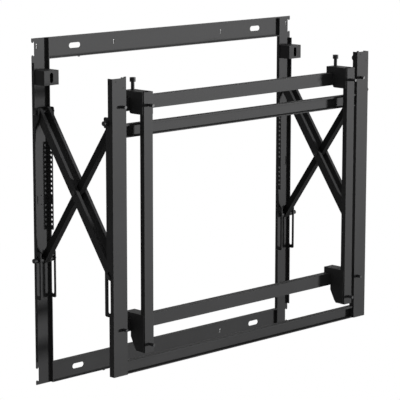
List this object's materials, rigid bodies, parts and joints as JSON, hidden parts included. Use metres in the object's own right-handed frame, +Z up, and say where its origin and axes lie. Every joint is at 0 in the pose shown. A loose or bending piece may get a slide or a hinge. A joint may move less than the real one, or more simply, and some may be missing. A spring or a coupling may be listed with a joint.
{
  "type": "pop-out video wall mount",
  "caption": "Pull-out wall mount for one screen of a video wall, with scissor arms, latch boxes, cross rails and hooked uprights.",
  "frame": {"origin": "on the wall plane, at the centre of the four wall slots", "axes": "+X along the wall to the viewer's right, +Y into the wall, +Z up; the screen faces -Y"},
  "size_m": [0.6532, 0.2262, 0.5992],
  "materials": {
    "black_powder_coat": "satin",
    "blackened_steel": "satin",
    "dark_zinc": "satin",
    "black_nylon": "matte"
  },
  "bodies": {
    "wall": {"wall_plate_top": "black_powder_coat", "wall_plate_bottom": "black_powder_coat", "wall_post_left": "black_powder_coat", "wall_post_right": "black_powder_coat", "latch_box_left": "black_powder_coat", "latch_box_right": "black_powder_coat", "latch_jaws_left": "dark_zinc", "latch_jaws_right": "dark_zinc", "wall_pivot_bolts": "blackened_steel", "wall_pivot_nuts": "blackened_steel"},
    "outer_left": {"outer_arm_left": "black_powder_coat", "arm_washers_left": "blackened_steel", "centre_pin_left": "blackened_steel", "front_slide_pin_left": "blackened_steel", "front_slide_clip_left": "blackened_steel"},
    "inner_left": {"inner_arm_left": "black_powder_coat", "wall_slide_pin_left": "blackened_steel", "wall_slide_clip_left": "blackened_steel", "wall_slide_spacers_left": "blackened_steel"},
    "outer_right": {"outer_arm_right": "black_powder_coat", "arm_washers_right": "blackened_steel", "centre_pin_right": "blackened_steel", "front_slide_pin_right": "blackened_steel", "front_slide_clip_right": "blackened_steel"},
    "inner_right": {"inner_arm_right": "black_powder_coat", "wall_slide_pin_right": "blackened_steel", "wall_slide_clip_right": "blackened_steel", "wall_slide_spacers_right": "blackened_steel"},
    "front": {"front_channel_left": "black_powder_coat", "front_channel_right": "black_powder_coat", "front_bar_upper": "black_powder_coat", "front_bar_lower": "black_powder_coat", "front_pivot_pins": "blackened_steel", "front_pivot_clips": "blackened_steel", "front_pivot_spacers": "blackened_steel", "latch_tongue_left": "black_powder_coat", "latch_tongue_right": "black_powder_coat"},
    "rails": {"rail_upper": "black_powder_coat", "rail_lower": "black_powder_coat"},
    "depth_upper_left": {"depth_screw_upper_left": "dark_zinc"},
    "depth_upper_right": {"depth_screw_upper_right": "dark_zinc"},
    "depth_lower_left": {"depth_screw_lower_left": "dark_zinc"},
    "depth_lower_right": {"depth_screw_lower_right": "dark_zinc"},
    "glide_left": {"glide_left": "black_nylon"},
    "lift_left": {"lift_screw_left": "blackened_steel"},
    "screen_left": {"hanger_left": "black_powder_coat", "display_upright_left": "black_powder_coat", "lower_bracket_left": "black_powder_coat", "display_studs_left": "dark_zinc"},
    "glide_right": {"glide_right": "black_nylon"},
    "lift_right": {"lift_screw_right": "blackened_steel"},
    "screen_right": {"hanger_right": "black_powder_coat", "display_upright_right": "black_powder_coat", "lower_bracket_right": "black_powder_coat", "display_studs_right": "dark_zinc"}
  },
  "joints": [
    {"name": "fold_left", "type": "hinge", "parent": "wall", "child": "outer_left", "pos_m": [-0.3, -0.0095, 0.175], "axis": [1, 0, 0], "range_deg": [0, 30.52]},
    {"name": "cross_left", "type": "hinge", "parent": "outer_left", "child": "inner_left", "pos_m": [-0.3, -0.0987, 0.04824], "axis": [-1, 0, 0], "range_deg": [0, 61.08]},
    {"name": "fold_right", "type": "hinge", "parent": "wall", "child": "outer_right", "pos_m": [0.3, -0.0095, 0.175], "axis": [1, 0, 0], "range_deg": [0, 30.54]},
    {"name": "cross_right", "type": "hinge", "parent": "outer_right", "child": "inner_right", "pos_m": [0.3, -0.0987, 0.04824], "axis": [-1, 0, 0], "range_deg": [0, 61.08]},
    {"name": "front_turn", "type": "hinge", "parent": "inner_left", "child": "front", "pos_m": [-0.3, -0.1879, 0.175], "axis": [1, 0, 0], "range_deg": [0, 30.54]},
    {"name": "depth", "type": "slide", "parent": "front", "child": "rails", "axis": [0, -1, 0], "range_m": [0, 0.003]},
    {"name": "turn_upper_left", "type": "hinge", "parent": "rails", "child": "depth_upper_left", "pos_m": [-0.2937, -0.1809, 0.2003], "axis": [0, -1, 0], "range_deg": [0, 1352]},
    {"name": "turn_upper_right", "type": "hinge", "parent": "rails", "child": "depth_upper_right", "pos_m": [0.2937, -0.1809, 0.2003], "axis": [0, -1, 0], "range_deg": [0, 1352]},
    {"name": "turn_lower_left", "type": "hinge", "parent": "rails", "child": "depth_lower_left", "pos_m": [-0.2937, -0.1809, -0.1699], "axis": [0, -1, 0], "range_deg": [0, 1352]},
    {"name": "turn_lower_right", "type": "hinge", "parent": "rails", "child": "depth_lower_right", "pos_m": [0.2937, -0.1809, -0.1699], "axis": [0, -1, 0], "range_deg": [0, 1352]},
    {"name": "shift_left", "type": "slide", "parent": "rails", "child": "glide_left", "axis": [1, 0, 0], "range_m": [-0.02, 0.02]},
    {"name": "raise_left", "type": "slide", "parent": "glide_left", "child": "screen_left", "axis": [0, 0, 1], "range_m": [0, 0.004]},
    {"name": "turn_lift_left", "type": "hinge", "parent": "glide_left", "child": "lift_left", "pos_m": [-0.25, -0.17675, 0.23], "axis": [0, 0, -1], "range_deg": [0, 1442]},
    {"name": "shift_right", "type": "slide", "parent": "rails", "child": "glide_right", "axis": [1, 0, 0], "range_m": [-0.02, 0.02]},
    {"name": "raise_right", "type": "slide", "parent": "glide_right", "child": "screen_right", "axis": [0, 0, 1], "range_m": [0, 0.004]},
    {"name": "turn_lift_right", "type": "hinge", "parent": "glide_right", "child": "lift_right", "pos_m": [0.25, -0.17675, 0.23], "axis": [0, 0, -1], "range_deg": [0, 1442]}
  ],
  "couplings": [
    {"joint": "cross_left", "follows": "fold_left", "ratio": 2},
    {"joint": "front_turn", "follows": "fold_left", "ratio": 1},
    {"joint": "fold_right", "follows": "fold_left", "ratio": 1},
    {"joint": "cross_right", "follows": "fold_left", "ratio": 2},
    {"joint": "turn_upper_left", "follows": "depth", "rad_per_m": 7854},
    {"joint": "turn_upper_right", "follows": "depth", "rad_per_m": 7854},
    {"joint": "turn_lower_left", "follows": "depth", "rad_per_m": 7854},
    {"joint": "turn_lower_right", "follows": "depth", "rad_per_m": 7854},
    {"joint": "turn_lift_left", "follows": "raise_left", "rad_per_m": 6283.2},
    {"joint": "turn_lift_right", "follows": "raise_right", "rad_per_m": 6283.2}
  ]
}
